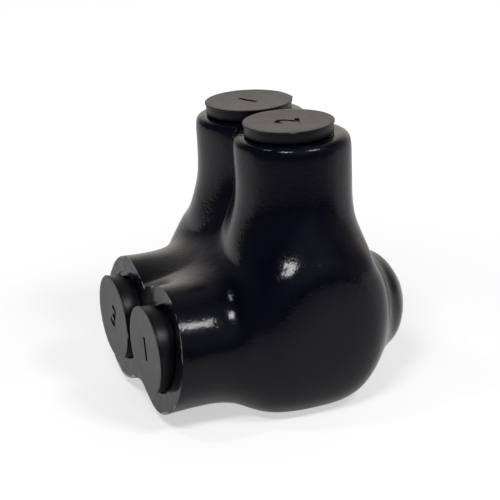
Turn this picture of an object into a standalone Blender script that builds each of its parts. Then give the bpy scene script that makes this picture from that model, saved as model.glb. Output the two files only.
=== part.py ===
"""Insulated splice connector for two wires that enter side by side from one end.

X runs across the two wires, -Y is the end where they enter, and +Z is up along the set screws.
The origin is on the flat underside, below the midpoint between the two screw axes.
"""

import math

import bmesh
import bpy
from mathutils import Vector

MM = 0.001

# Wires and screws.
WIRE_SPACING = 21.6 * MM
WIRE_BORE_RADIUS = 7.8 * MM
SCREW_RADIUS = 7.1 * MM
SCREW_LENGTH = 16.0 * MM
SCREW_TIP_CHAMFER = 2.0 * MM
SCREW_TOP_CHAMFER = 0.7 * MM
SCREW_ABOVE_BORE = 0.4 * MM
SOCKET_ACROSS_FLATS = 8.0 * MM
SOCKET_DEPTH = 8.0 * MM
SOCKET_SIDES = 6

# Terminal block, as walls round the wire bores.
BLOCK_LENGTH = 20.0 * MM
BLOCK_SIDE_WALL = 4.2 * MM
BLOCK_FLOOR = 4.8 * MM
BLOCK_ROOF = 7.0 * MM
BLOCK_CHAMFER = 2.0 * MM

# Dipped jacket: walls round the block and the bores, and lengths from the block's faces.
JACKET_WALL = 4.0 * MM
JACKET_FLOOR = 4.5 * MM
TOWER_BORE_RADIUS = 9.0 * MM
TOWER_WALL = 3.9 * MM
TOWER_LENGTH = 28.5 * MM
SLEEVE_BORE_RADIUS = 9.0 * MM
SLEEVE_WALL = 5.3 * MM
SLEEVE_LENGTH = 22.8 * MM
SLEEVE_DROP = 0.6 * MM
SLEEVE_CUT_TILT = math.radians(5.0)
DOME_BORE_RADIUS = 8.4 * MM
DOME_WALL = 2.6 * MM
DOME_END_WALL = 3.6 * MM
DOME_LENGTH = 15.7 * MM
DOME_RISE = 1.4 * MM
DOME_HOLLOW_ROUNDING = 7.1 * MM
DOME_HOLLOW_STEPS = 4

# Coarse cage of the belly: how far it swells past the walls above, how far its bottom edges are
# tucked in, and where its inner columns stand as shares of the distance to the screw axis.
SIDE_SWELL = 3.3 * MM
FRONT_SWELL = 1.3 * MM
BACK_SWELL = 0.2 * MM
BASE_SWELL = 0.3 * MM
SHOULDER_RISE = 0.9 * MM
BASE_TUCK_SIDE = 1.4 * MM
BASE_TUCK_FRONT = 1.4 * MM
BASE_TUCK_BACK = 5.4 * MM
INNER_COLUMN_SHARE = 0.5
OUTER_COLUMN_SHARE = 1.15

# Cage rings of the towers: height over the block, growth across and along the wires, and shift.
TOWER_FOOT = (3.8 * MM, 5.9 * MM, 2.6 * MM, 0.3 * MM)
TOWER_FLARE = (8.5 * MM, 1.5 * MM, 0.7 * MM, -0.2 * MM)
TOWER_NECK = (14.7 * MM, -0.3 * MM, -0.2 * MM, 0.6 * MM)
TOWER_SHIFT = 0.6 * MM
TOWER_RIM = 4.0 * MM
TOWER_GROOVE = 8.5 * MM

# Cage rings of the sleeves and the domes: distance from the block, and growth of the radius.
SLEEVE_FOOT = (7.1 * MM, 0.0 * MM)
SLEEVE_NECK = (16.4 * MM, -0.6 * MM)
SLEEVE_GROOVE = 11.5 * MM
DOME_FOOT = (7.1 * MM, 0.7 * MM)
DOME_NECK = (11.3 * MM, 0.4 * MM)
DOME_TIP_INSET = 7.2 * MM
DOME_GROOVE = 9.0 * MM
GROOVE_HALF_WIDTH = 1.5 * MM

# Caps of the towers and plugs of the sleeves.
CAP_HEAD_RADIUS = 10.0 * MM
CAP_HEAD_THICKNESS = 2.6 * MM
CAP_STEM_LENGTH = 9.0 * MM
PLUG_HEAD_RADIUS = 9.8 * MM
PLUG_HEAD_THICKNESS = 2.2 * MM
PLUG_STEM_LENGTH = 12.0 * MM
HEAD_ROUNDING = 0.4 * MM
STEM_TIP_CHAMFER = 0.8 * MM
RIB_HEIGHT = 0.5 * MM
RIB_PITCH = 3.0 * MM
RIB_COUNT = 2

# Room between pieces that fit together.
CLEARANCE = 0.3 * MM

# How curved faces are made.
ROUND_SIDES = 32
SMOOTHING_LEVEL = 2
SHARP_ANGLE = math.radians(30.0)
MERGE_DISTANCE = 0.01 * MM
QUARTER_TURN = math.pi / 2
EIGHTH_TURN = math.pi / 4

# Places that follow from the sizes above.
LOBE_X = WIRE_SPACING / 2
LOBES = ((1, LOBE_X), (2, -LOBE_X))
BLOCK_HALF_WIDTH = LOBE_X + WIRE_BORE_RADIUS + BLOCK_SIDE_WALL
BLOCK_BOTTOM = JACKET_FLOOR
WIRE_HEIGHT = BLOCK_BOTTOM + BLOCK_FLOOR + WIRE_BORE_RADIUS
BLOCK_TOP = WIRE_HEIGHT + WIRE_BORE_RADIUS + BLOCK_ROOF
BLOCK_END = BLOCK_LENGTH / 2
TOWER_TOP = BLOCK_TOP + TOWER_LENGTH
SLEEVE_END = -BLOCK_END - SLEEVE_LENGTH
TRIM_REACH = 2 * TOWER_TOP

# Eight cage points round a circle pull in to this share of their radius when they are smoothed.
RING_SHARE = (4 + 2 * math.cos(EIGHTH_TURN)) / 6

MODEL = bpy.data.collections.new("splice_connector")
CUTTERS = bpy.data.collections.new("cutters")


def clear_scene():
    for obj in list(bpy.data.objects):
        bpy.data.objects.remove(obj, do_unlink=True)
    for collection in (MODEL, CUTTERS):
        bpy.context.scene.collection.children.link(collection)


def material(name, colour, roughness, metallic):
    made = bpy.data.materials.new(name)
    made.use_nodes = True
    shader = made.node_tree.nodes["Principled BSDF"]
    shader.inputs["Base Color"].default_value = (*colour, 1.0)
    shader.inputs["Roughness"].default_value = roughness
    shader.inputs["Metallic"].default_value = metallic
    return made


def add_part(name, bm, finish):
    mesh = bpy.data.meshes.new(name)
    bm.to_mesh(mesh)
    bm.free()
    mesh.materials.append(finish)
    part = bpy.data.objects.new(name, mesh)
    MODEL.objects.link(part)
    return part


def add_cutter(name, bm, place=(0.0, 0.0, 0.0), turn=0.0):
    """A hidden cutting body at a place, turned about X."""
    mesh = bpy.data.meshes.new(name)
    bm.to_mesh(mesh)
    bm.free()
    cutter = bpy.data.objects.new(name, mesh)
    cutter.location = place
    cutter.rotation_euler = (turn, 0.0, 0.0)
    cutter.hide_render = True
    cutter.display_type = "WIRE"
    CUTTERS.objects.link(cutter)
    return cutter


def box_mesh(low, high):
    bm = bmesh.new()
    bmesh.ops.create_cube(bm, size=1.0)
    bmesh.ops.scale(bm, vec=high - low, verts=bm.verts)
    bmesh.ops.translate(bm, vec=(high + low) / 2, verts=bm.verts)
    return bm


def profile_mesh(points):
    """An open line of points (radius, height) that runs from the top down the outside."""
    bm = bmesh.new()
    line = [bm.verts.new((radius, 0.0, height)) for radius, height in points]
    for first, second in zip(line, line[1:]):
        bm.edges.new((first, second))
    return bm


def cylinder_profile(radius, bottom, top):
    return profile_mesh([(0.0, top), (radius, top), (radius, bottom), (0.0, bottom)])


def turn_round(obj):
    spin = obj.modifiers.new("Turn", "SCREW")
    spin.steps = ROUND_SIDES
    spin.render_steps = ROUND_SIDES
    spin.use_merge_vertices = True
    spin.merge_threshold = MERGE_DISTANCE
    return obj


def chamfer(obj, width):
    bevel = obj.modifiers.new("Chamfer", "BEVEL")
    bevel.width = width
    bevel.segments = 1
    return obj


def cut(obj, cutter):
    boolean = obj.modifiers.new(cutter.name, "BOOLEAN")
    boolean.operation = "DIFFERENCE"
    boolean.solver = "EXACT"
    boolean.object = cutter


def shade(obj):
    obj.data.shade_smooth()
    obj.data.set_sharp_from_angle(angle=SHARP_ANGLE)


def lobe_point(column, side, wide, deep, groove):
    """One cage point of the outline round both lobes, seen along a limb.

    Column 0 lies in the groove on the middle plane, and columns 1 to 3 run round the outer lobe,
    whose radius is wide along X and deep across it. Side is -1, 0 or 1 across the outline.
    """
    corner = math.cos(EIGHTH_TURN)
    reach = wide / RING_SHARE
    depth = deep / RING_SHARE
    valley = max(LOBE_X - reach * corner, GROOVE_HALF_WIDTH)
    edge = LOBE_X + reach * (corner if side else 1.0)
    across = (0.0, valley, LOBE_X, edge)
    along = (groove, depth * corner, depth, depth * corner)
    return across[column], side * along[column]


def on_middle_plane(face):
    return all(abs(point.co.x) < MERGE_DISTANCE for point in face.verts)


def grow_limb(bm, slot, faces, rings, place):
    """Extrudes the faces once for each ring, and puts each new point at its place in the ring."""
    for ring in rings:
        made = bmesh.ops.extrude_face_region(bm, geom=faces)["geom"]
        bmesh.ops.delete(bm, geom=faces, context="FACES")
        faces = [item for item in made if isinstance(item, bmesh.types.BMFace)]
        points = {point for face in faces for point in face.verts}
        for point in points:
            point.co = place(ring, [round(number) for number in point[slot]])
        walls = {face for point in points for face in point.link_faces}
        inner = [face for face in walls if on_middle_plane(face)]
        bmesh.ops.delete(bm, geom=inner, context="FACES")


def nearest(cuts, place):
    return min(range(len(cuts)), key=lambda number: abs(cuts[number] - place))


def belly_cage():
    """Half a box round the block, cut into a coarse grid.

    Each point keeps its column, row and layer in the grid in the layer that is returned.
    """
    side = BLOCK_HALF_WIDTH + JACKET_WALL + SIDE_SWELL
    front = -BLOCK_END - JACKET_WALL - FRONT_SWELL
    back = BLOCK_END + JACKET_WALL + BACK_SWELL
    columns = (0.0, LOBE_X * INNER_COLUMN_SHARE, LOBE_X * OUTER_COLUMN_SHARE, side)
    rows = (front, 0.0, back)
    layers = (-BASE_SWELL, WIRE_HEIGHT, BLOCK_TOP + SHOULDER_RISE)
    grid = (columns, rows, layers)
    bm = box_mesh(Vector((0.0, front, layers[0])), Vector((side, back, layers[-1])))
    slot = bm.verts.layers.float_vector.new("grid")
    for axis, cuts in enumerate(grid):
        normal = Vector([float(axis == other) for other in range(len(grid))])
        for place in cuts[1:-1]:
            everything = bm.verts[:] + bm.edges[:] + bm.faces[:]
            bmesh.ops.bisect_plane(bm, geom=everything, plane_co=normal * place, plane_no=normal)
    for point in bm.verts:
        point[slot] = [nearest(cuts, place) for cuts, place in zip(grid, point.co)]
    inner = [face for face in bm.faces if on_middle_plane(face)]
    bmesh.ops.delete(bm, geom=inner, context="FACES")
    return bm, slot


def faces_towards(bm, way):
    bm.normal_update()
    return [face for face in bm.faces if face.normal.dot(Vector(way)) > math.cos(SHARP_ANGLE)]


def tuck_base(bm, slot):
    """Pulls the bottom edges of the belly in towards its middle."""
    along = (BASE_TUCK_FRONT, 0.0, -BASE_TUCK_BACK)
    across = (0.0, 0.0, 0.0, -BASE_TUCK_SIDE)
    for point in bm.verts:
        column, row, layer = (round(number) for number in point[slot])
        if layer == 0:
            point.co.x += across[column]
            point.co.y += along[row]


def on_tower(ring, numbers):
    height, wide, deep, groove, shift = ring
    across, along = lobe_point(numbers[0], numbers[1] - 1, wide, deep, groove)
    return across, along + shift, height


def on_wire(ring, numbers):
    along, radius, groove, rise = ring
    across, up = lobe_point(numbers[0], numbers[2] - 1, radius, radius, groove)
    return across, along, WIRE_HEIGHT + rise + up


def tower_rings():
    radius = TOWER_BORE_RADIUS + TOWER_WALL
    for height, wide, deep, shift in (TOWER_FOOT, TOWER_FLARE, TOWER_NECK):
        yield BLOCK_TOP + height, radius + wide, radius + deep, TOWER_GROOVE + deep, shift
    for drop, inset in ((TOWER_RIM, 0.0), (0.0, 0.0), (0.0, TOWER_RIM)):
        inner = radius - inset
        yield TOWER_TOP - drop, inner, inner, TOWER_GROOVE - inset, TOWER_SHIFT


def sleeve_rings():
    radius = SLEEVE_BORE_RADIUS + SLEEVE_WALL
    past_cut = (SLEEVE_LENGTH + JACKET_WALL, 0.0)
    for distance, growth in (SLEEVE_FOOT, SLEEVE_NECK, past_cut):
        yield -BLOCK_END - distance, radius + growth, SLEEVE_GROOVE + growth, -SLEEVE_DROP


def dome_rings():
    radius = DOME_BORE_RADIUS + DOME_WALL
    tip = (DOME_LENGTH, -DOME_TIP_INSET)
    for distance, growth in (DOME_FOOT, DOME_NECK, tip):
        yield BLOCK_END + distance, radius + growth, DOME_GROOVE + growth, DOME_RISE


def block_mesh(room):
    low = Vector((-BLOCK_HALF_WIDTH - room, -BLOCK_END - room, BLOCK_BOTTOM - room))
    high = Vector((BLOCK_HALF_WIDTH + room, BLOCK_END + room, BLOCK_TOP + room))
    return box_mesh(low, high)


def tower_bore(number, x):
    """The way down to one set screw, open at the top of the tower."""
    profile = cylinder_profile(TOWER_BORE_RADIUS, -JACKET_WALL, TOWER_LENGTH + JACKET_WALL)
    return turn_round(add_cutter("tower_bore_%d" % number, profile, (x, 0.0, BLOCK_TOP)))


def sleeve_bore(number, x):
    """The way in for one wire, open at the cut end of the sleeve."""
    profile = cylinder_profile(SLEEVE_BORE_RADIUS, -JACKET_WALL, SLEEVE_LENGTH + 2 * JACKET_WALL)
    place = (x, -BLOCK_END, WIRE_HEIGHT)
    return turn_round(add_cutter("sleeve_bore_%d" % number, profile, place, QUARTER_TURN))


def dome_hollow(number, x):
    """The room behind the block for the end of one wire, with a rounded dead end."""
    depth = DOME_LENGTH - DOME_END_WALL
    flat = DOME_BORE_RADIUS - DOME_HOLLOW_ROUNDING
    points = [(0.0, depth)]
    for step in range(DOME_HOLLOW_STEPS + 1):
        turn = QUARTER_TURN * step / DOME_HOLLOW_STEPS
        radius = flat + DOME_HOLLOW_ROUNDING * math.sin(turn)
        height = depth - DOME_HOLLOW_ROUNDING * (1.0 - math.cos(turn))
        points.append((radius, height))
    points += [(DOME_BORE_RADIUS, -JACKET_WALL), (0.0, -JACKET_WALL)]
    place = (x, BLOCK_END, WIRE_HEIGHT + DOME_BORE_RADIUS - WIRE_BORE_RADIUS)
    return turn_round(add_cutter("dome_hollow_%d" % number, profile_mesh(points), place, -QUARTER_TURN))


def base_trim():
    """Everything below the flat underside."""
    low = Vector((-TRIM_REACH, -TRIM_REACH, -TRIM_REACH))
    return add_cutter("base_trim", box_mesh(low, Vector((TRIM_REACH, TRIM_REACH, 0.0))))


def sleeve_trim():
    """Everything past the straight cut across the sleeves, which leans out towards the bottom."""
    low = Vector((-TRIM_REACH, -TRIM_REACH, -TRIM_REACH))
    knife = box_mesh(low, Vector((TRIM_REACH, 0.0, TRIM_REACH)))
    return add_cutter("sleeve_trim", knife, (0.0, SLEEVE_END, WIRE_HEIGHT), -SLEEVE_CUT_TILT)


def make_jacket(finish):
    bm, slot = belly_cage()
    top = faces_towards(bm, (0.0, 0.0, 1.0))
    front = faces_towards(bm, (0.0, -1.0, 0.0))
    back = faces_towards(bm, (0.0, 1.0, 0.0))
    tuck_base(bm, slot)
    grow_limb(bm, slot, top, tower_rings(), on_tower)
    grow_limb(bm, slot, front, sleeve_rings(), on_wire)
    grow_limb(bm, slot, back, dome_rings(), on_wire)
    bmesh.ops.recalc_face_normals(bm, faces=bm.faces)
    jacket = add_part("jacket", bm, finish)
    mirror = jacket.modifiers.new("Mirror", "MIRROR")
    mirror.merge_threshold = MERGE_DISTANCE
    smoothing = jacket.modifiers.new("Subdivision", "SUBSURF")
    smoothing.levels = SMOOTHING_LEVEL
    smoothing.render_levels = SMOOTHING_LEVEL
    cut(jacket, chamfer(add_cutter("block_hollow", block_mesh(CLEARANCE)), BLOCK_CHAMFER))
    for number, x in LOBES:
        cut(jacket, tower_bore(number, x))
        cut(jacket, sleeve_bore(number, x))
        cut(jacket, dome_hollow(number, x))
    cut(jacket, base_trim())
    cut(jacket, sleeve_trim())
    shade(jacket)


def make_block(finish):
    """The metal block with a wire bore and a screw hole in each lobe."""
    block = chamfer(add_part("terminal_block", block_mesh(0.0), finish), BLOCK_CHAMFER)
    for number, x in LOBES:
        bore = cylinder_profile(WIRE_BORE_RADIUS, -BLOCK_LENGTH, BLOCK_LENGTH)
        bore = add_cutter("wire_bore_%d" % number, bore, (x, 0.0, WIRE_HEIGHT), QUARTER_TURN)
        cut(block, turn_round(bore))
        hole = cylinder_profile(SCREW_RADIUS + CLEARANCE, 0.0, BLOCK_TOP)
        hole = add_cutter("screw_hole_%d" % number, hole, (x, 0.0, WIRE_HEIGHT))
        cut(block, turn_round(hole))
    shade(block)


def make_screw(number, x, finish):
    """A set screw backed out until its tip is just clear of the wire bore."""
    profile = profile_mesh([
        (0.0, SCREW_LENGTH),
        (SCREW_RADIUS - SCREW_TOP_CHAMFER, SCREW_LENGTH),
        (SCREW_RADIUS, SCREW_LENGTH - SCREW_TOP_CHAMFER),
        (SCREW_RADIUS, SCREW_TIP_CHAMFER),
        (SCREW_RADIUS - SCREW_TIP_CHAMFER, 0.0),
        (0.0, 0.0),
    ])
    screw = turn_round(add_part("set_screw_%d" % number, profile, finish))
    screw.location = (x, 0.0, WIRE_HEIGHT + WIRE_BORE_RADIUS + SCREW_ABOVE_BORE)
    corner = SOCKET_ACROSS_FLATS / 2 / math.cos(math.pi / SOCKET_SIDES)
    hexagon = bmesh.new()
    bmesh.ops.create_cone(
        hexagon,
        cap_ends=True,
        segments=SOCKET_SIDES,
        radius1=corner,
        radius2=corner,
        depth=2 * SOCKET_DEPTH,
    )
    top = screw.location + Vector((0.0, 0.0, SCREW_LENGTH))
    cut(screw, add_cutter("hex_socket_%d" % number, hexagon, top))
    shade(screw)


def stopper_profile(head, thickness, bore, length):
    """A disc head over a solid stem with grip ribs, with the underside of the head at Z = 0."""
    ridge = bore - CLEARANCE
    stem = ridge - RIB_HEIGHT
    points = [
        (0.0, thickness),
        (head - HEAD_ROUNDING, thickness),
        (head, thickness - HEAD_ROUNDING),
        (head, 0.0),
        (stem, 0.0),
    ]
    for number in range(RIB_COUNT):
        peak = -RIB_PITCH * (number + 1)
        points += [(stem, peak + RIB_HEIGHT), (ridge, peak), (stem, peak - RIB_HEIGHT)]
    points += [
        (stem, STEM_TIP_CHAMFER - length),
        (stem - STEM_TIP_CHAMFER, -length),
        (0.0, -length),
    ]
    return profile_mesh(points)


def make_cap(number, x, finish):
    """The stopper that closes one tower, just over its rim."""
    profile = stopper_profile(CAP_HEAD_RADIUS, CAP_HEAD_THICKNESS, TOWER_BORE_RADIUS, CAP_STEM_LENGTH)
    cap = turn_round(add_part("screw_cap_%d" % number, profile, finish))
    cap.location = (x, 0.0, TOWER_TOP + CLEARANCE)
    shade(cap)


def make_plug(number, x, finish):
    """The stopper that closes one sleeve, clear of the lowest part of its slanting end."""
    profile = stopper_profile(PLUG_HEAD_RADIUS, PLUG_HEAD_THICKNESS, SLEEVE_BORE_RADIUS, PLUG_STEM_LENGTH)
    plug = turn_round(add_part("wire_plug_%d" % number, profile, finish))
    lean = PLUG_HEAD_RADIUS * math.tan(SLEEVE_CUT_TILT)
    plug.location = (x, SLEEVE_END - lean - CLEARANCE, WIRE_HEIGHT)
    plug.rotation_euler = (QUARTER_TURN, 0.0, 0.0)
    shade(plug)


def main():
    clear_scene()
    vinyl = material("dipped_vinyl", (0.012, 0.012, 0.017), 0.22, 0.0)
    rubber = material("moulded_rubber", (0.035, 0.034, 0.035), 0.6, 0.0)
    block_metal = material("plated_aluminium", (0.72, 0.73, 0.74), 0.35, 1.0)
    screw_metal = material("screw_aluminium", (0.62, 0.62, 0.64), 0.3, 1.0)
    make_jacket(vinyl)
    make_block(block_metal)
    for number, x in LOBES:
        make_screw(number, x, screw_metal)
        make_cap(number, x, rubber)
        make_plug(number, x, rubber)


main()
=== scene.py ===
"""Looks of an insulated splice connector for two wires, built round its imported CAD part.

X runs across the two wires, -Y is the end where they enter, and +Z is up along the set screws.
The file is laid out as a Blender add-on: one operator for each group of pieces and one for the
stage, and a panel that lists them. Run as a script, it builds everything in order.
"""

import math

import bmesh
import bpy
from mathutils import Matrix, Vector, noise


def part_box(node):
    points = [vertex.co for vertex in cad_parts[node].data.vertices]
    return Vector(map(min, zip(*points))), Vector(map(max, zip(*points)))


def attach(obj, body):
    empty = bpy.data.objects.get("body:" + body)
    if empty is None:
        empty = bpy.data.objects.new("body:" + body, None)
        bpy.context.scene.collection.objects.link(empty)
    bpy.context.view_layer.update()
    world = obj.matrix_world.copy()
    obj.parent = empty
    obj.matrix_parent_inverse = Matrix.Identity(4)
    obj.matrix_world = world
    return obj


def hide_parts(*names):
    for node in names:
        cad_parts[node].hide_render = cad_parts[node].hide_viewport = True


bl_info = {
    "name": "Splice connector",
    "version": (1, 0, 0),
    "blender": (4, 5, 0),
    "location": "3D View > Sidebar > Splice connector",
    "description": "Builds the looks of an insulated splice connector round its CAD part",
    "category": "Add Mesh",
}

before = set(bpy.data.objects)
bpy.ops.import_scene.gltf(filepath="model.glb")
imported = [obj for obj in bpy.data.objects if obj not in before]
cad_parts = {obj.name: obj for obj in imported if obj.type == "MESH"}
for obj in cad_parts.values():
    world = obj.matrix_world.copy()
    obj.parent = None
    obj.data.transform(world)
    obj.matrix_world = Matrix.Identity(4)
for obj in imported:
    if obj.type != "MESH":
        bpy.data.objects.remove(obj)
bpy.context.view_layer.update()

MM = 0.001

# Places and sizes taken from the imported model.
CAP_LOW, CAP_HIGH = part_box("screw_cap_1")
PLUG_LOW, PLUG_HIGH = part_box("wire_plug_1")
SCREW_LOW, SCREW_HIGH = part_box("set_screw_1")
BLOCK_LOW, BLOCK_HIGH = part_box("terminal_block")
LOBE_X = (SCREW_LOW.x + SCREW_HIGH.x) / 2
LOBES = ((1, LOBE_X), (2, -LOBE_X))
WIRE_HEIGHT = (PLUG_LOW.z + PLUG_HIGH.z) / 2

# Jacket: the outline of its belly, towers, sleeves and domes.
BLOCK_END = BLOCK_HIGH.y
BLOCK_TOP = BLOCK_HIGH.z
TOWER_LENGTH = 28.5 * MM
SLEEVE_LENGTH = 22.8 * MM
TOWER_TOP = BLOCK_TOP + TOWER_LENGTH
SLEEVE_END = BLOCK_LOW.y - SLEEVE_LENGTH
BELLY_SIDE = BLOCK_HIGH.x + 7.3 * MM
BELLY_FRONT = BLOCK_LOW.y - 5.3 * MM
BELLY_BACK = BLOCK_HIGH.y + 4.2 * MM
BELLY_BOTTOM = -0.3 * MM
SHOULDER = BLOCK_TOP + 0.9 * MM
INNER_COLUMN = 0.5 * LOBE_X
OUTER_COLUMN = 1.15 * LOBE_X
BASE_TUCK_ACROSS = (0.0, 0.0, 0.0, -1.4 * MM)
BASE_TUCK_ALONG = (1.4 * MM, 0.0, -5.4 * MM)
GROOVE_HALF_WIDTH = 1.5 * MM
TOWER_RADIUS = 12.9 * MM
TOWER_GROOVE = 8.5 * MM
SLEEVE_RADIUS = 14.3 * MM
SLEEVE_GROOVE = 11.5 * MM
SLEEVE_DROP = 0.6 * MM
DOME_RADIUS = 11.0 * MM
DOME_GROOVE = 9.0 * MM
DOME_RISE = 1.4 * MM

# Cage rings of the towers: height over the block, growth across and along the wires, and shift.
TOWER_RINGS = (
    (3.8 * MM, 4.9 * MM, 2.6 * MM, 0.3 * MM),
    (8.5 * MM, 2.4 * MM, 0.8 * MM, -0.2 * MM),
    (14.7 * MM, 0.2 * MM, -0.2 * MM, 0.6 * MM),
    (24.5 * MM, 0.0, 0.0, 0.6 * MM),
    (TOWER_LENGTH, 0.0, 0.0, 0.6 * MM),
    (TOWER_LENGTH, -3.0 * MM, -3.0 * MM, 0.3 * MM),
)
# Cage rings of the sleeves and the domes: distance from the block, and growth of the radius.
SLEEVE_RINGS = ((7.1 * MM, 0.0), (16.4 * MM, -0.6 * MM), (SLEEVE_LENGTH, -0.2 * MM))
DOME_RINGS = ((7.1 * MM, 0.7 * MM), (11.3 * MM, 0.4 * MM), (15.7 * MM, -7.2 * MM))

# Hollow of the jacket: room round the block, and the bores with their mouths.
ROOM = 0.3 * MM
HOLLOW_COLUMN = 0.4 * MM
HOLLOW_CHAMFER = 2.0 * MM
TOWER_BORE = 9.0 * MM
SLEEVE_BORE = 9.0 * MM
DOME_BORE = 8.4 * MM
MOUTH_ROUNDING = 0.5 * MM
# The lining's bores: how far from the block their first rings lie, and how far they stay inside
# the towers' tops and the cut, where the mouths join them.
BORE_START = 3.0 * MM
TOWER_LINING_DEPTH = 6.0 * MM
SLEEVE_LINING_DEPTH = 7.0 * MM
# The open loops of a bore and its mouth lie within this reach of the middle between them.
LOOP_REACH = 11.0 * MM
# Seats of the plugs, pressed into the cut: their radius, their place along the wires, and their
# least depth, which counts where the cut leans inwards.
SEAT_RADIUS = 10.15 * MM
SEAT_PLACE = SLEEVE_END + 0.05 * MM
SEAT_LEAST_DEPTH = 0.15 * MM
# Hollow of a dome: its rise over the wire, and its rings by distance from the block and radius.
DOME_HOLLOW_RISE = 0.6 * MM
DOME_HOLLOW_RINGS = ((5.0 * MM, 8.4 * MM), (9.5 * MM, 7.6 * MM), (12.1 * MM, 4.4 * MM))

EIGHTH_TURN = math.pi / 4
QUARTER_TURN = math.pi / 2
FULL_TURN = 2 * math.pi
SHARP_TURN = 0.8 * EIGHTH_TURN
MERGE = 0.01 * MM

# A smoothed ring pulls in to these shares of the radius of its 8 or 16 cage points.
RING_OF_8 = (4 + 2 * math.cos(EIGHTH_TURN)) / 6
RING_OF_16 = (4 + 2 * math.cos(EIGHTH_TURN / 2)) / 6

# Fairing of the belly: how far it reaches up the towers and out along the sleeves and domes,
# the share of that reach and the rounds of each stage, and the steps in and out of a round.
FAIR_TOWER = 16.0 * MM
FAIR_SLEEVE = 15.0 * MM
FAIR_DOME = 10.0 * MM
FAIRING = ((1.0, 2), (0.8, 2), (0.6, 2))
FAIRING_IN = 0.5
FAIRING_OUT = -0.53

# Where vinyl pooled in the hollows between the limbs: low corner, high corner and rounds.
POOLS = (
    (Vector((-15.0, -30.0, 20.0)) * MM, Vector((15.0, -5.0, 46.0)) * MM, 30),
    (Vector((-40.0, 8.0, 0.0)) * MM, Vector((40.0, 24.0, 40.0)) * MM, 14),
)
POOL_STEP = 0.6

# Waves of the dipped skin: fineness per mm, place in the pattern and share of the waviness.
WAVES = ((0.085, Vector((3.1, 0.0, 7.7)), 0.9), (0.22, Vector((11.0, 5.0, 2.0)), 0.35))
# Roughness of the cut: the knife's drag lines across the sleeves, and small nicks.
DRAG_ACROSS = 0.25
DRAG_UP = 1.1
DRAG_PLACE = 4.0
DRAG_HEIGHT = 0.10 * MM
NICK_FINENESS = 1.3
NICK_PLACE = Vector((0.0, 9.0, 1.0))
NICK_HEIGHT = 0.06 * MM
# Painted glints on the rim of the cut, where its ragged edge catches the light: their mean, how far
# they wander and how finely.
GLINT_MEAN = 0.25
GLINT_RANGE = 1.3
GLINT_FINENESS = 0.33

# Material numbers of the jacket's faces while it is a cage.
SKIN, CUT, TOWER_MOUTH, SLEEVE_MOUTH, LINING = range(5)

ROUND_SIDES = 128


# Settings: colours in linear light, lengths in millimetres and angles in degrees


def colour_setting(name, description, default):
    """A colour without alpha."""
    return bpy.props.FloatVectorProperty(
        name=name,
        description=description,
        subtype="COLOR",
        size=3,
        min=0.0,
        max=1.0,
        default=default,
    )


def share_setting(name, description, default):
    """A share from 0 to 1."""
    return bpy.props.FloatProperty(
        name=name,
        description=description,
        subtype="FACTOR",
        min=0.0,
        max=1.0,
        default=default,
    )


def length_setting(name, description, default, least, most):
    """A length with its limits."""
    return bpy.props.FloatProperty(
        name=name,
        description=description,
        unit="LENGTH",
        min=least * MM,
        max=most * MM,
        default=default * MM,
    )


def angle_setting(name, description, degrees, least=-360.0, most=360.0):
    """An angle, with limits where they matter."""
    return bpy.props.FloatProperty(
        name=name,
        description=description,
        subtype="ANGLE",
        min=math.radians(least),
        max=math.radians(most),
        default=math.radians(degrees),
    )


class JacketSettings(bpy.types.PropertyGroup):
    vinyl_colour: colour_setting(
        "Vinyl colour", "Colour of the dipped vinyl", (0.0014, 0.0014, 0.006)
    )
    vinyl_roughness: share_setting("Vinyl roughness", "Mean roughness of the dipped skin", 0.15)
    cut_colour: colour_setting(
        "Cut colour", "Colour of the cut ends of the sleeves", (0.006, 0.006, 0.0075)
    )
    cut_tilt: angle_setting(
        "Cut tilt", "How far the cut across the sleeves leans out towards the bottom", 6.5, 0.0, 17.0
    )
    waviness: length_setting(
        "Waviness", "Height of the slow waves in the dipped skin", 0.11, 0.0, 1.0
    )


class StopperSettings(bpy.types.PropertyGroup):
    rubber_colour: colour_setting(
        "Rubber colour", "Colour of the moulded caps and plugs", (0.0045, 0.0044, 0.007)
    )
    # The face colour is paler than the sides to paint in the sheen that the faces catch when seen at a
    # grazing angle. Their rubber is as black as the sides.
    face_sheen_colour: colour_setting(
        "Face colour", "Colour of the dusty faces of the caps and plugs", (0.034, 0.030, 0.027)
    )
    rubber_roughness: share_setting(
        "Rubber roughness", "Mean roughness of the moulded rubber", 0.38
    )
    mark_height: length_setting(
        "Mark height", "Height of the mould cavity's number on each head", 5.2, 0.0, 10.0
    )
    mark_depth: length_setting("Mark depth", "Depth of the number", 0.45, 0.0, 1.0)


class MetalSettings(bpy.types.PropertyGroup):
    block_colour: colour_setting(
        "Block colour", "Colour of the plated terminal block", (0.72, 0.73, 0.74)
    )
    screw_colour: colour_setting("Screw colour", "Colour of the set screws", (0.62, 0.62, 0.64))
    thread_pitch: length_setting(
        "Thread pitch", "Pitch of the set screws' thread", 1.6, 0.5, 4.0
    )
    key_size: length_setting(
        "Key size", "Width across the flats of the set screws' hex socket", 8.0, 2.0, 12.0
    )


class StageSettings(bpy.types.PropertyGroup):
    azimuth: angle_setting("Azimuth", "Direction of the camera round the object", 67.386)
    elevation: angle_setting("Elevation", "Height of the camera over the horizon", 19.685)
    roll: angle_setting("Roll", "Turn of the camera about its line of sight", -2.687)
    distance: length_setting(
        "Distance", "Distance of the camera from the middle of the wires", 350.02, 50.0, 5000.0
    )
    lens: bpy.props.FloatProperty(
        name="Lens",
        description="Focal length of the camera",
        subtype="DISTANCE_CAMERA",
        default=108.69,
    )
    floor_colour: colour_setting("Floor colour", "Colour of the floor", (0.82, 0.82, 0.81))
    lamp_level: bpy.props.FloatProperty(
        name="Lamp level",
        description="Brightness of the three lamps",
        min=0.0,
        default=1.0,
    )


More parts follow.
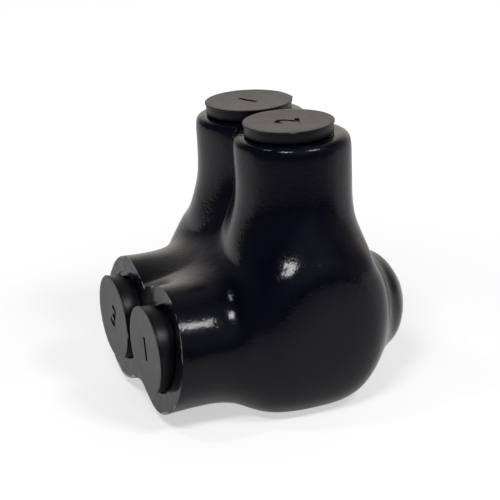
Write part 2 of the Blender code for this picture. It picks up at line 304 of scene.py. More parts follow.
class SpliceSettings(bpy.types.PropertyGroup):
    jacket: bpy.props.PointerProperty(type=JacketSettings, name="Jacket")
    stoppers: bpy.props.PointerProperty(type=StopperSettings, name="Caps and plugs")
    metal: bpy.props.PointerProperty(type=MetalSettings, name="Metal")
    stage: bpy.props.PointerProperty(type=StageSettings, name="Stage")


# Node helpers and shared surface effects


def add_node(tree, kind, values=(), **facts):
    """A node of a kind, with its properties set and the values of its sockets."""
    node = tree.nodes.new(kind)
    for name, value in facts.items():
        setattr(node, name, value)
    for name, value in dict(values).items():
        node.inputs[name].default_value = value
    return node


def feed(tree, socket, item):
    """Links a socket to another, or sets it to a number, a vector or a colour without alpha."""
    if isinstance(item, bpy.types.NodeSocket):
        tree.links.new(item, socket)
    elif isinstance(item, tuple):
        socket.default_value = (*item, 1.0)[: len(socket.default_value)]
    else:
        socket.default_value = item


def math_node(tree, operation, first, second):
    """A Math node. Each input is a socket or a number."""
    node = add_node(tree, "ShaderNodeMath", operation=operation)
    for socket, item in zip(node.inputs, (first, second)):
        feed(tree, socket, item)
    return node.outputs[0]


def mix_node(tree, kind, factor, first, second):
    """A Mix node for colours (RGBA) or vectors (VECTOR). Each end is a socket or three numbers."""
    node = add_node(tree, "ShaderNodeMix", data_type=kind)
    tree.links.new(factor, node.inputs["Factor"])
    ends = [socket for socket in node.inputs if socket.type == kind and socket.name in "AB"]
    for socket, item in zip(ends, (first, second)):
        feed(tree, socket, item)
    return [socket for socket in node.outputs if socket.type == kind][0]


def ramp(tree, factor, stops):
    """A colour ramp of (place, grey) stops."""
    node = add_node(tree, "ShaderNodeValToRGB")
    points = node.color_ramp.elements
    while len(points) < len(stops):
        points.new(1.0)
    for point, (place, grey) in zip(points, stops):
        point.position = place
        point.color = (grey, grey, grey, 1.0)
    tree.links.new(factor, node.inputs[0])
    return node.outputs[0]


def group_tree(name, numbers, outputs):
    """An empty node group with a vector input, named number inputs and number outputs."""
    tree = bpy.data.node_groups.new(name, "ShaderNodeTree")
    tree.interface.new_socket("Vector", in_out="INPUT", socket_type="NodeSocketVector")
    for key, value in numbers.items():
        socket = tree.interface.new_socket(key, in_out="INPUT", socket_type="NodeSocketFloat")
        socket.default_value = value
    for key in outputs:
        tree.interface.new_socket(key, in_out="OUTPUT", socket_type="NodeSocketFloat")
    return tree, tree.nodes.new("NodeGroupInput"), tree.nodes.new("NodeGroupOutput")


def grain_group():
    """Fine and coarse noise in one: a height for bumps and a mask that wanders slowly."""
    name = "skin_grain"
    if name in bpy.data.node_groups:
        return bpy.data.node_groups[name]
    inputs = {"Fine scale": 1000.0, "Coarse scale": 120.0, "Fine share": 0.5}
    tree, source, sink = group_tree(name, inputs, ("Height", "Drift"))
    fine = add_node(tree, "ShaderNodeTexNoise", {"Detail": 2.0, "Roughness": 0.5})
    coarse = add_node(tree, "ShaderNodeTexNoise", {"Detail": 3.0, "Roughness": 0.55})
    for node, scale in ((fine, "Fine scale"), (coarse, "Coarse scale")):
        tree.links.new(source.outputs["Vector"], node.inputs["Vector"])
        tree.links.new(source.outputs[scale], node.inputs["Scale"])
    share = source.outputs["Fine share"]
    small = math_node(tree, "MULTIPLY", fine.outputs["Fac"], share)
    rest = math_node(tree, "SUBTRACT", 1.0, share)
    large = math_node(tree, "MULTIPLY", coarse.outputs["Fac"], rest)
    tree.links.new(math_node(tree, "ADD", small, large), sink.inputs["Height"])
    tree.links.new(ramp(tree, coarse.outputs["Fac"], ((0.35, 0.0), (0.65, 1.0))), sink.inputs["Drift"])
    return tree


def speck_group():
    """Scattered specks of dust, as a mask."""
    name = "dust_specks"
    if name in bpy.data.node_groups:
        return bpy.data.node_groups[name]
    inputs = {"Scale": 260.0, "Size": 0.1, "Share": 0.35}
    tree, source, sink = group_tree(name, inputs, ("Mask",))
    cells = add_node(tree, "ShaderNodeTexVoronoi", {"Randomness": 1.0})
    tree.links.new(source.outputs["Vector"], cells.inputs["Vector"])
    tree.links.new(source.outputs["Scale"], cells.inputs["Scale"])
    near = math_node(tree, "LESS_THAN", cells.outputs["Distance"], source.outputs["Size"])
    pick = add_node(tree, "ShaderNodeSeparateColor")
    tree.links.new(cells.outputs["Color"], pick.inputs["Color"])
    chosen = math_node(tree, "LESS_THAN", pick.outputs["Red"], source.outputs["Share"])
    tree.links.new(math_node(tree, "MULTIPLY", near, chosen), sink.inputs["Mask"])
    return tree


class Finish:
    """A material under construction: its tree, its shader and its object coordinates."""

    def __init__(self, name, shader_values):
        self.material = bpy.data.materials.new(name)
        self.material.use_nodes = True
        self.tree = self.material.node_tree
        self.shader = self.tree.nodes["Principled BSDF"]
        for key, value in shader_values.items():
            self.shader.inputs[key].default_value = value
        self.place = add_node(self.tree, "ShaderNodeTexCoord").outputs["Object"]

    def link(self, output, key):
        """Feeds one of the shader's sockets."""
        self.tree.links.new(output, self.shader.inputs[key])

    def effect(self, group, values, vector=None):
        """A shared surface effect with its own values, on object coordinates or a vector."""
        node = add_node(self.tree, "ShaderNodeGroup", node_tree=group)
        for key, value in values.items():
            node.inputs[key].default_value = value
        self.tree.links.new(vector or self.place, node.inputs["Vector"])
        return node

    def stretched(self, scale):
        """Object coordinates scaled along each axis."""
        node = add_node(self.tree, "ShaderNodeMapping", {"Scale": scale})
        self.tree.links.new(self.place, node.inputs["Vector"])
        return node.outputs["Vector"]

    def mix(self, factor, first, second):
        """A colour between two, each a colour or a socket."""
        return mix_node(self.tree, "RGBA", factor, first, second)

    def between(self, factor, low, high):
        """A number that runs from low to high as the factor runs from 0 to 1."""
        node = add_node(self.tree, "ShaderNodeMapRange", {"To Min": low, "To Max": high})
        self.tree.links.new(factor, node.inputs["Value"])
        return node.outputs["Result"]

    def bump(self, height, distance, under=None):
        """A bump of a height at full strength, over another bump's normal if one is given."""
        node = add_node(self.tree, "ShaderNodeBump", {"Strength": 1.0, "Distance": distance})
        self.tree.links.new(height, node.inputs["Height"])
        if under:
            self.tree.links.new(under, node.inputs["Normal"])
        self.link(node.outputs["Normal"], "Normal")
        return node.outputs["Normal"]


DUST_COLOUR = (0.16, 0.155, 0.15)
# Pale colour of the painted glints, where the cut's ragged rim catches the light.
RIM_GLINT_COLOUR = (0.4, 0.4, 0.38)
# A point of the cut's rim takes the painted glint over this stretch of its glint share and the grit's
# height.
RIM_GLINT_STOPS = ((0.8, 0.0), (0.88, 1.0))
CUT_ROUGHNESS = (0.16, 0.24)


def lighter(colour, factor):
    """A colour times a factor. A factor under 1 darkens it."""
    return tuple(min(1.0, channel * factor) for channel in colour)


def vinyl_finish(settings):
    """Glossy dipped vinyl with a fine orange peel, slow patches of gloss and a few specks."""
    base = tuple(settings.vinyl_colour)
    finish = Finish("dipped_vinyl_skin", {"Specular IOR Level": 0.32})
    grain = finish.effect(
        grain_group(), {"Fine scale": 1250.0, "Coarse scale": 380.0, "Fine share": 0.6}
    )
    drift = grain.outputs["Drift"]
    specks = finish.effect(speck_group(), {"Scale": 230.0, "Size": 0.05, "Share": 0.3})
    colour = finish.mix(drift, base, lighter(base, 1.5))
    finish.link(finish.mix(specks.outputs["Mask"], colour, DUST_COLOUR), "Base Color")
    level = settings.vinyl_roughness
    finish.link(finish.between(drift, level * 0.85, level * 1.25), "Roughness")
    finish.bump(grain.outputs["Height"], 0.075 * MM)
    return finish.material


def cut_finish(settings):
    """Knife-cut vinyl: dark and smooth, with drag lines across it and painted glints of light on its
    rim.
    """
    base = tuple(settings.cut_colour)
    finish = Finish("cut_vinyl", {"Specular IOR Level": 0.36})
    lines = finish.effect(
        grain_group(),
        {"Fine scale": 700.0, "Coarse scale": 260.0, "Fine share": 0.5},
        finish.stretched((0.25, 1.0, 1.6)),
    )
    grit = finish.effect(grain_group(), {"Fine scale": 2400.0, "Coarse scale": 320.0})
    drift = grit.outputs["Drift"]
    colour = finish.mix(drift, lighter(base, 0.8), lighter(base, 1.35))
    # The rim's pale patches are painted glints of light, where the ragged edge catches it.
    glint_share = add_node(finish.tree, "ShaderNodeAttribute", attribute_name="worn_rim").outputs["Fac"]
    jagged = math_node(finish.tree, "ADD", glint_share, grit.outputs["Height"])
    glints = ramp(finish.tree, jagged, RIM_GLINT_STOPS)
    finish.link(finish.mix(glints, colour, RIM_GLINT_COLOUR), "Base Color")
    finish.link(finish.between(drift, *CUT_ROUGHNESS), "Roughness")
    under = finish.bump(lines.outputs["Height"], 0.035 * MM)
    finish.bump(grit.outputs["Height"], 0.015 * MM, under=under)
    return finish.material


def rubber_finishes(settings):
    """The finish of the caps' and plugs' sides, and the paler one of their faces, whose colour is
    painted sheen.
    """
    return [
        bpy.data.materials.get(name) or rubber_finish(settings, name, tuple(colour))
        for name, colour in (
            ("moulded_rubber_side", settings.rubber_colour),
            ("moulded_rubber_face_painted_sheen", settings.face_sheen_colour),
        )
    ]


def rubber_finish(settings, name, base):
    """Moulded rubber: matt, mottled by bloom, with a fine spark-eroded grain."""
    finish = Finish(name, {"Specular IOR Level": 0.4})
    grain = finish.effect(
        grain_group(), {"Fine scale": 2600.0, "Coarse scale": 300.0, "Fine share": 0.7}
    )
    bloom = finish.effect(grain_group(), {"Fine scale": 900.0, "Coarse scale": 90.0})
    specks = finish.effect(speck_group(), {"Scale": 420.0, "Size": 0.09, "Share": 0.25})
    colour = finish.mix(bloom.outputs["Drift"], base, lighter(base, 1.4))
    finish.link(finish.mix(specks.outputs["Mask"], colour, lighter(base, 3.0)), "Base Color")
    level = settings.rubber_roughness
    finish.link(finish.between(grain.outputs["Drift"], level * 0.95, level * 1.05), "Roughness")
    finish.bump(grain.outputs["Height"], 0.03 * MM)
    return finish.material


def metal_finish(name, colour, roughness, stretch, distance):
    """Bright machined metal with tool marks that run one way."""
    finish = Finish(name, {"Metallic": 1.0})
    marks = finish.effect(
        grain_group(),
        {"Fine scale": 1600.0, "Coarse scale": 200.0, "Fine share": 0.6},
        finish.stretched(stretch),
    )
    stain = finish.effect(grain_group(), {"Fine scale": 500.0, "Coarse scale": 140.0})
    drift = stain.outputs["Drift"]
    finish.link(finish.mix(drift, lighter(colour, 0.82), tuple(colour)), "Base Color")
    finish.link(finish.between(drift, roughness * 1.2, roughness * 0.85), "Roughness")
    finish.bump(marks.outputs["Height"], distance)
    return finish.material


# Mesh helpers


def mesh_from(bm, name):
    """A new mesh with what a bmesh holds. The bmesh is freed."""
    mesh = bpy.data.meshes.new(name)
    bm.to_mesh(mesh)
    bm.free()
    return mesh


def add_piece(name, mesh, body, nodes, finishes):
    """A finished piece that rides on a body and stands for CAD nodes. Its faces keep their
    material numbers, which clearing the materials would reset."""
    mesh.name = name
    kinds = [face.material_index for face in mesh.polygons]
    mesh.materials.clear()
    for finish in finishes:
        mesh.materials.append(finish)
    mesh.polygons.foreach_set("material_index", kinds)
    piece = bpy.data.objects.new(name, mesh)
    bpy.context.scene.collection.objects.link(piece)
    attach(piece, body)
    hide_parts(*nodes)
    return piece


def helper_object(name, data):
    """An object that stays in the scene only while something is made from it."""
    helper = bpy.data.objects.new(name, data)
    bpy.context.scene.collection.objects.link(helper)
    return helper


def made_real(helper):
    """The mesh of a helper object, as its modifiers leave it."""
    bpy.context.view_layer.update()
    graph = bpy.context.evaluated_depsgraph_get()
    return bpy.data.meshes.new_from_object(helper.evaluated_get(graph))


def subdivided(mesh, levels, final=True):
    """The mesh as a subdivision surface of so many levels, made real. A final one lies on the
    limit surface, and one that isn't can be subdivided again to the same form."""
    helper = helper_object("cage", mesh)
    smoothing = helper.modifiers.new("Subdivision", "SUBSURF")
    smoothing.levels = levels
    smoothing.render_levels = levels
    smoothing.use_limit_surface = final
    result = made_real(helper)
    bpy.data.objects.remove(helper)
    bpy.data.meshes.remove(mesh)
    return result


def boolean(mesh, cutter_mesh, operation="DIFFERENCE"):
    """The mesh cut by another, or joined to it, made real."""
    blank = helper_object("blank", mesh)
    cutter = helper_object("cutter", cutter_mesh)
    change = blank.modifiers.new("Cut", "BOOLEAN")
    change.operation = operation
    change.solver = "EXACT"
    change.object = cutter
    result = made_real(blank)
    for helper in (blank, cutter):
        data = helper.data
        bpy.data.objects.remove(helper)
        bpy.data.meshes.remove(data)
    return result


def shade(mesh, degrees):
    """Shades a mesh smooth, apart from the edges that turn by more than so many degrees."""
    mesh.shade_smooth()
    mesh.set_sharp_from_angle(angle=math.radians(degrees))


def kinds_at(item):
    """The material numbers of the faces that meet at a point or an edge."""
    return {face.material_index for face in item.link_faces}


def profile(bm, points):
    """An open line through points given by (radius, height), ready to spin about Z."""
    line = [bm.verts.new((radius, 0.0, height)) for radius, height in points]
    return line + [bm.edges.new(pair) for pair in zip(line, line[1:])]


def lathe(points, steps=ROUND_SIDES):
    """A closed body turned about Z from an open line of (radius, height), top first."""
    bm = bmesh.new()
    bmesh.ops.spin(
        bm,
        geom=profile(bm, points),
        cent=(0.0, 0.0, 0.0),
        axis=(0.0, 0.0, 1.0),
        angle=FULL_TURN,
        steps=steps,
        use_merge=True,
    )
    bmesh.ops.remove_doubles(bm, verts=bm.verts, dist=MERGE)
    bmesh.ops.recalc_face_normals(bm, faces=bm.faces)
    return bm


# Jacket


def lobe_point(column, side, wide, deep, groove, pinched=True):
    """One cage point of the outline round both lobes, seen along a limb. A pinched outline is
    at its narrowest in the middle of the groove between its lobes."""
    corner = math.cos(EIGHTH_TURN)
    reach = wide / RING_OF_8
    depth = deep / RING_OF_8
    valley = max(LOBE_X - reach * corner, GROOVE_HALF_WIDTH)
    if pinched and side == 0:
        valley = GROOVE_HALF_WIDTH
    edge = LOBE_X + reach * (corner if side else 1.0)
    across = (0.0, valley, LOBE_X, edge)
    along = (groove, depth * corner, depth, depth * corner)
    return across[column], side * along[column]


def bore_point(column, side, radius):
    """One cage point of a round bore in the lobe at x > 0. Columns 1 to 3 run across it."""
    corner = math.cos(EIGHTH_TURN)
    reach = radius / RING_OF_8
    step = column - 2
    share = corner if step and side else 1.0
    return LOBE_X + reach * step * share, reach * side * share


def numbers_of(point, slot):
    """The column, row and layer of a cage point."""
    return [round(number) for number in point[slot]]


def on_middle_plane(face):
    """Whether a face lies between the two halves."""
    return all(abs(point.co.x) < MERGE for point in face.verts)


def grow(bm, slot, faces, rings, place):
    """Extrudes the faces once for each ring, puts each new point in place and gives the new
    end faces back."""
    for ring in rings:
        made = bmesh.ops.extrude_face_region(bm, geom=faces)["geom"]
        bmesh.ops.delete(bm, geom=faces, context="FACES")
        faces = [item for item in made if isinstance(item, bmesh.types.BMFace)]
        points = {point for face in faces for point in face.verts}
        for point in points:
            point.co = place(ring, numbers_of(point, slot))
        walls = {face for point in points for face in point.link_faces}
        inner = [face for face in walls if on_middle_plane(face)]
        bmesh.ops.delete(bm, geom=inner, context="FACES")
    return faces


def nearest(cuts, place):
    """The number of the cut that lies nearest to a place."""
    return min(range(len(cuts)), key=lambda number: abs(cuts[number] - place))


def half_grid_box(grid):
    """Half a box, cut into a coarse grid. Each point keeps its column, row and layer."""
    low = Vector([cuts[0] for cuts in grid])
    high = Vector([cuts[-1] for cuts in grid])
    bm = bmesh.new()
    slot = bm.verts.layers.float_vector.new("grid")
    made = bmesh.ops.create_cube(bm, size=1.0)["verts"]
    bmesh.ops.scale(bm, vec=high - low, verts=made)
    bmesh.ops.translate(bm, vec=(high + low) / 2, verts=made)
    for axis, cuts in enumerate(grid):
        normal = Vector([float(axis == other) for other in range(len(grid))])
        for place in cuts[1:-1]:
            everything = bm.verts[:] + bm.edges[:] + bm.faces[:]
            bmesh.ops.bisect_plane(bm, geom=everything, plane_co=normal * place, plane_no=normal)
    for point in bm.verts:
        point[slot] = [nearest(cuts, place) for cuts, place in zip(grid, point.co)]
    inner = [face for face in bm.faces if on_middle_plane(face)]
    bmesh.ops.delete(bm, geom=inner, context="FACES")
    return bm, slot


def faces_towards(bm, way):
    """The faces that look a way, give or take an eighth of a turn."""
    bm.normal_update()
    return [face for face in bm.faces if face.normal.dot(Vector(way)) > math.cos(EIGHTH_TURN)]


def lobe_faces(faces, slot, lowest_layer=0):
    """Those of the faces that lie in the lobe, clear of the web between the lobes."""
    return [
        face
        for face in faces
        if all(
            numbers_of(point, slot)[0] >= 1 and numbers_of(point, slot)[2] >= lowest_layer
            for point in face.verts
        )
    ]


def mirrored(bm):
    """Both halves of a half body, joined on the middle plane."""
    bmesh.ops.mirror(bm, geom=bm.verts[:] + bm.edges[:] + bm.faces[:], axis="X", merge_dist=MERGE)
    bmesh.ops.remove_doubles(bm, verts=bm.verts, dist=MERGE)
    bmesh.ops.recalc_face_normals(bm, faces=bm.faces)


def crease(bm, is_sharp):
    """Keeps the edges that a test picks sharp through the smoothing, and no others."""
    layer = bm.edges.layers.float.get("crease_edge") or bm.edges.layers.float.new("crease_edge")
    for edge in bm.edges:
        edge[layer] = 1.0 if is_sharp(edge) else 0.0


def turns_sharply(edge):
    """Whether an edge is a corner of the hollow."""
    return edge.calc_face_angle(0.0) > SHARP_TURN


def rims_cut(edge):
    """Whether an edge divides the cage's skin from its cut."""
    return kinds_at(edge) in ({SKIN, CUT}, {SKIN, SLEEVE_MOUTH})


def keeps_edge(edge):
    """Whether an edge stays sharp on the whole jacket: round the cut, or in the hollow."""
    kinds = kinds_at(edge)
    at_cut = len(kinds) == 2 and CUT in kinds
    return at_cut or (kinds == {LINING} and turns_sharply(edge))


def cut_depth(height, tilt):
    """Where the slanting cut across the sleeves lies at a height."""
    return SLEEVE_END + (height - WIRE_HEIGHT) * math.tan(tilt)


def outer_cage(tilt):
    """Half the outside of the jacket, closed at the tops of the towers and the cut."""
    columns = (0.0, INNER_COLUMN, OUTER_COLUMN, BELLY_SIDE)
    rows = (BELLY_FRONT, 0.0, BELLY_BACK)
    layers = (BELLY_BOTTOM, WIRE_HEIGHT, SHOULDER)
    bm, slot = half_grid_box((columns, rows, layers))
    top = faces_towards(bm, (0.0, 0.0, 1.0))
    front = faces_towards(bm, (0.0, -1.0, 0.0))
    back = faces_towards(bm, (0.0, 1.0, 0.0))
    for point in bm.verts:
        column, row, layer = numbers_of(point, slot)
        if layer == 0:
            point.co.x += BASE_TUCK_ACROSS[column]
            point.co.y += BASE_TUCK_ALONG[row]

    def on_tower(ring, numbers):
        height, wide, deep, shift = ring
        side = numbers[1] - 1
        radius = TOWER_RADIUS + wide
        depth = TOWER_RADIUS + deep
        across, along = lobe_point(numbers[0], side, radius, depth, TOWER_GROOVE + deep)
        return across, along + shift, BLOCK_TOP + height

    def on_sleeve(ring, numbers):
        distance, growth = ring
        radius = SLEEVE_RADIUS + growth
        side = numbers[2] - 1
        across, up = lobe_point(numbers[0], side, radius, radius, SLEEVE_GROOVE + growth)
        height = WIRE_HEIGHT - SLEEVE_DROP + up
        share = (distance - SLEEVE_RINGS[0][0]) / (SLEEVE_RINGS[-1][0] - SLEEVE_RINGS[0][0])
        lean = share * (cut_depth(height, tilt) - SLEEVE_END)
        return across, BLOCK_LOW.y - distance + lean, height

    def on_dome(ring, numbers):
        distance, growth = ring
        radius = DOME_RADIUS + growth
        side = numbers[2] - 1
        across, up = lobe_point(numbers[0], side, radius, radius, DOME_GROOVE + growth, pinched=False)
        return across, BLOCK_END + distance, WIRE_HEIGHT + DOME_RISE + up

    tower_end = grow(bm, slot, top, TOWER_RINGS, on_tower)
    for face in lobe_faces(tower_end, slot):
        face.material_index = TOWER_MOUTH
    sleeve_end = grow(bm, slot, front, SLEEVE_RINGS, on_sleeve)
    for face in sleeve_end:
        face.material_index = CUT
    for face in lobe_faces(sleeve_end, slot):
        face.material_index = SLEEVE_MOUTH
    grow(bm, slot, back, DOME_RINGS, on_dome)
    mirrored(bm)
    return bm


def inner_cage():
    """Half the hollow of the jacket: the room for the block, the bores and the dead ends."""
    columns = (0.0, HOLLOW_COLUMN, LOBE_X, BLOCK_HIGH.x + ROOM)
    rows = (BLOCK_LOW.y - ROOM, 0.0, BLOCK_HIGH.y + ROOM)
    layers = (BLOCK_LOW.z - ROOM, BLOCK_LOW.z + HOLLOW_CHAMFER, WIRE_HEIGHT, BLOCK_TOP + ROOM)
    bm, slot = half_grid_box((columns, rows, layers))
    for face in bm.faces:
        face.material_index = LINING
    top = lobe_faces(faces_towards(bm, (0.0, 0.0, 1.0)), slot)
    front = lobe_faces(faces_towards(bm, (0.0, -1.0, 0.0)), slot, lowest_layer=1)
    back = lobe_faces(faces_towards(bm, (0.0, 1.0, 0.0)), slot, lowest_layer=1)
    for point in bm.verts:
        column, row, layer = numbers_of(point, slot)
        if layer == 0:
            point.co.x -= HOLLOW_CHAMFER * (column == 3)
            point.co.y -= HOLLOW_CHAMFER * (row - 1)

    def up_tower(ring, numbers):
        height, radius = ring
        across, along = bore_point(numbers[0], numbers[1] - 1, radius)
        return across, along, height

    def along_wire(ring, numbers):
        along, radius, rise = ring
        across, up = bore_point(numbers[0], numbers[2] - 2, radius)
        return across, along, WIRE_HEIGHT + rise + up

    tower_rings = (
        (BLOCK_TOP + ROOM, TOWER_BORE),
        (BLOCK_TOP + BORE_START, TOWER_BORE),
        (TOWER_TOP - TOWER_LINING_DEPTH, TOWER_BORE),
    )
    front_end = BLOCK_LOW.y - ROOM
    sleeve_rings = (
        (front_end, SLEEVE_BORE, 0.0),
        (front_end - BORE_START, SLEEVE_BORE, 0.0),
        (SLEEVE_END + SLEEVE_LINING_DEPTH, SLEEVE_BORE, 0.0),
    )
    dome_rings = [
        (BLOCK_END + along, radius, DOME_HOLLOW_RISE)
        for along, radius in ((ROOM, DOME_BORE), *DOME_HOLLOW_RINGS)
    ]
    ends = grow(bm, slot, top, tower_rings, up_tower)
    ends += grow(bm, slot, front, sleeve_rings, along_wire)
    grow(bm, slot, back, dome_rings, along_wire)
    bmesh.ops.delete(bm, geom=ends, context="FACES")
    mirrored(bm)
    crease(bm, turns_sharply)
    return bm


def turn_in_square(across, along):
    """The angle of a point on the rim of a square, so that equal steps give equal turns."""
    if abs(across) >= abs(along):
        turn = EIGHTH_TURN * along / across
        return turn if across > 0 else turn + math.pi
    turn = QUARTER_TURN - EIGHTH_TURN * across / along
    return turn if along > 0 else turn + math.pi


def open_mouth(bm, slot, kind, lobe, axis, rings, place):
    """Takes the faces of one kind out of one lobe and turns their rim inwards, ring by ring.

    The grid numbers of the rim's points say where each goes round the bore.
    """
    disc = [
        face
        for face in bm.faces
        if face.material_index == kind and face.calc_center_median().x * lobe > 0
    ]
    inside = dict.fromkeys(edge for face in disc for edge in face.edges)
    rim = [edge for edge in inside if sum(face in disc for face in edge.link_faces) == 1]
    bmesh.ops.delete(bm, geom=disc, context="FACES")
    for ring in rings:
        made = bmesh.ops.extrude_edge_only(bm, edges=rim)["geom"]
        rim = [item for item in made if isinstance(item, bmesh.types.BMEdge)]
        for face in {face for edge in rim for face in edge.link_faces}:
            face.material_index = ring[0]
        for point in {point for edge in rim for point in edge.verts}:
            numbers = point[slot]
            turn = turn_in_square(numbers[0] - 2.0, numbers[axis] - 1.0)
            point.co = place(ring, lobe, math.cos(turn) / RING_OF_16, math.sin(turn) / RING_OF_16)


def loop_near(bm, centre, reach):
    """The open edges that lie round a point."""
    return [
        edge
        for edge in bm.edges
        if len(edge.link_faces) == 1
        and ((edge.verts[0].co + edge.verts[1].co) / 2 - centre).length < reach
    ]


def jacket_mesh(settings):
    """The whole jacket: its outside and its hollow, joined at the mouths of the bores."""
    tilt = settings.cut_tilt
    bm = outer_cage(tilt)
    crease(bm, rims_cut)
    shell = subdivided(mesh_from(bm, "outer"), 1, final=False)
    lining = subdivided(mesh_from(inner_cage(), "inner"), 1, final=False)
    bm = bmesh.new()
    bm.from_mesh(shell)
    slot = bm.verts.layers.float_vector["grid"]
    fair(bm)
    pool(bm)

    def into_tower(ring, lobe, across, along):
        _, height, radius = ring
        return lobe * (LOBE_X + radius * across), radius * along, height

    def into_sleeve(ring, lobe, across, up):
        _, radius, depth = ring
        height = WIRE_HEIGHT + radius * up
        face = cut_depth(height, tilt)
        along = face if depth is None else max(SEAT_PLACE, face + SEAT_LEAST_DEPTH) + depth
        return lobe * (LOBE_X + radius * across), along, height

    # Each ring has the material number of the wall that leads to it. In a tower its height and
    # radius follow, and in a sleeve its radius and its depth behind the seat. None is on the cut.
    tower_mouth = (
        (SKIN, TOWER_TOP, TOWER_BORE + MOUTH_ROUNDING),
        (LINING, TOWER_TOP - MOUTH_ROUNDING, TOWER_BORE),
        (LINING, TOWER_TOP - 3 * MOUTH_ROUNDING, TOWER_BORE),
    )
    sleeve_mouth = (
        (CUT, SEAT_RADIUS, None),
        (LINING, SEAT_RADIUS, 0.0),
        (LINING, SLEEVE_BORE, 0.0),
        (LINING, SLEEVE_BORE, 2 * MOUTH_ROUNDING),
    )
    for _, x in LOBES:
        lobe = math.copysign(1.0, x)
        open_mouth(bm, slot, TOWER_MOUTH, lobe, 1, tower_mouth, into_tower)
        open_mouth(bm, slot, SLEEVE_MOUTH, lobe, 2, sleeve_mouth, into_sleeve)
    bm.from_mesh(lining)
    tower_gap = TOWER_TOP - (TOWER_LINING_DEPTH + 3 * MOUTH_ROUNDING) / 2
    sleeve_gap = (SLEEVE_END + SLEEVE_LINING_DEPTH + SEAT_PLACE + 2 * MOUTH_ROUNDING) / 2
    for _, x in LOBES:
        for middle in ((x, 0.0, tower_gap), (x, sleeve_gap, WIRE_HEIGHT)):
            bmesh.ops.bridge_loops(bm, edges=loop_near(bm, Vector(middle), LOOP_REACH))
    for mesh in (shell, lining):
        bpy.data.meshes.remove(mesh)
    bmesh.ops.recalc_face_normals(bm, faces=bm.faces)
    crease(bm, keeps_edge)
    mesh = subdivided(mesh_from(bm, "jacket_form"), 2)
    finish_surface(mesh, settings, tilt)
    return mesh


def fair(bm):
    """Eases the lumps where the limbs leave the belly, less and less towards their ends. Each
    pass that draws the skin in is followed by one that lets it out, so the form keeps its size."""
    for reach, rounds in FAIRING:
        points = [
            point
            for point in bm.verts
            if point.co.z < BLOCK_TOP + FAIR_TOWER * reach
            and point.co.y > BLOCK_LOW.y - FAIR_SLEEVE * reach
            and point.co.y < BLOCK_END + FAIR_DOME * reach
        ]
        for _ in range(rounds):
            for factor in (FAIRING_IN, FAIRING_OUT):
                bmesh.ops.smooth_vert(
                    bm,
                    verts=points,
                    factor=factor,
                    use_axis_x=True,
                    use_axis_y=True,
                    use_axis_z=True,
                )


def pool(bm):
    """Fills the hollows between the limbs. Points move outwards only."""
    for low, high, rounds in POOLS:
        points = [
            point
            for point in bm.verts
            if all(a < place < b for a, place, b in zip(low, point.co, high))
            and not point.is_boundary
            and kinds_at(point) == {SKIN}
        ]
        for _ in range(rounds):
            bm.normal_update()
            moves = []
            for point in points:
                others = [edge.other_vert(point).co for edge in point.link_edges]
                pull = sum(others, Vector()) / len(others) - point.co
                rise = max(0.0, pull.dot(point.normal)) * POOL_STEP
                moves.append((point, point.normal * rise))
            for point, move in moves:
                point.co += move


def finish_surface(mesh, settings, tilt):
    """Waves the skin slightly, roughens the cut, flattens the underside and spreads the share of
    painted glint along the rim of the cut.
    """
    bm = bmesh.new()
    bm.from_mesh(mesh)
    bm.normal_update()
    cut_normal = Vector((0.0, -math.cos(tilt), math.sin(tilt)))
    waves = settings.waviness
    moves = []
    for point in bm.verts:
        kinds = kinds_at(point)
        at = point.co / MM
        if kinds == {SKIN}:
            height = sum(noise.noise(at * fine + place) * share for fine, place, share in WAVES)
            moves.append((point, point.normal * height * waves))
        elif CUT in kinds:
            drag = noise.noise(Vector((at.x * DRAG_ACROSS, at.z * DRAG_UP, DRAG_PLACE)))
            nick = noise.noise(at * NICK_FINENESS + NICK_PLACE)
            moves.append((point, cut_normal * (drag * DRAG_HEIGHT + nick * NICK_HEIGHT)))
    for point, move in moves:
        point.co += move
    for point in bm.verts:
        point.co.z = max(point.co.z, 0.0)
    # Where the painted glints of light go along the rim of the cut.
    glint_share = bm.verts.layers.float.new("worn_rim")
    for point in bm.verts:
        if kinds_at(point) >= {SKIN, CUT}:
            wander = noise.noise(point.co / MM * GLINT_FINENESS)
            point[glint_share] = GLINT_MEAN + GLINT_RANGE * wander
    for face in bm.faces:
        face.material_index = 1 if face.material_index == CUT else 0
    bm.to_mesh(mesh)
    bm.free()
    shade(mesh, 50.0)


class SPLICE_OT_jacket(bpy.types.Operator):
    """Build the dipped jacket with its towers, sleeves and bores"""

    bl_idname = "splice.jacket"
    bl_label = "Jacket"

    def execute(self, context):
        settings = context.scene.splice_connector.jacket
        mesh = jacket_mesh(settings)
        finishes = (vinyl_finish(settings), cut_finish(settings))
        add_piece("dipped_jacket", mesh, "housing", ["jacket"], finishes)
        return {"FINISHED"}


# Caps and plugs

CAP_THICKNESS = 2.6 * MM
PLUG_THICKNESS = 3.2 * MM
STEM_GAP = 0.8 * MM
# The face of a head is dished: shares of its radius, and of the depth there.
DISH = 0.12 * MM
DISH_SHAPE = ((0.0, 1.0), (0.5, 0.9), (0.86, 0.35))
LIP = 0.22 * MM
LIP_HEIGHT = 0.45 * MM
LIP_SLOPE = 0.1 * MM
EDGE = 0.09 * MM
STEM_FILLET = 0.35 * MM
RIBS = 2
RIB_HEIGHT = 0.5 * MM
RIB_PITCH = 3.0 * MM
RIB_CREST = 0.1 * MM
# The rounded tip of a stem: how far in from its side and back from its end.
TIP_SHAPE = ((0.0, 0.9 * MM), (0.25 * MM, 0.35 * MM), (0.8 * MM, 0.0))
# The nib of flash: the share of the head's radius where it starts, half its width, its reach,
# its droop, and how sharply it comes to a point.
NIB_ROOT = 0.97
NIB_HALF_WIDTH = 0.8 * MM
NIB_REACH = 0.42 * MM
NIB_DROOP = 0.25
NIB_POINT = 0.6
# The number: the font's size for each unit of its height, and how much its strokes gain.
FONT_SIZE = 1.42
STROKE_GAIN = 0.2 * MM
# The face is what lies this near the top of a head and looks up.
FACE_DEPTH = 0.2 * MM
FACE_LEVEL = 0.8
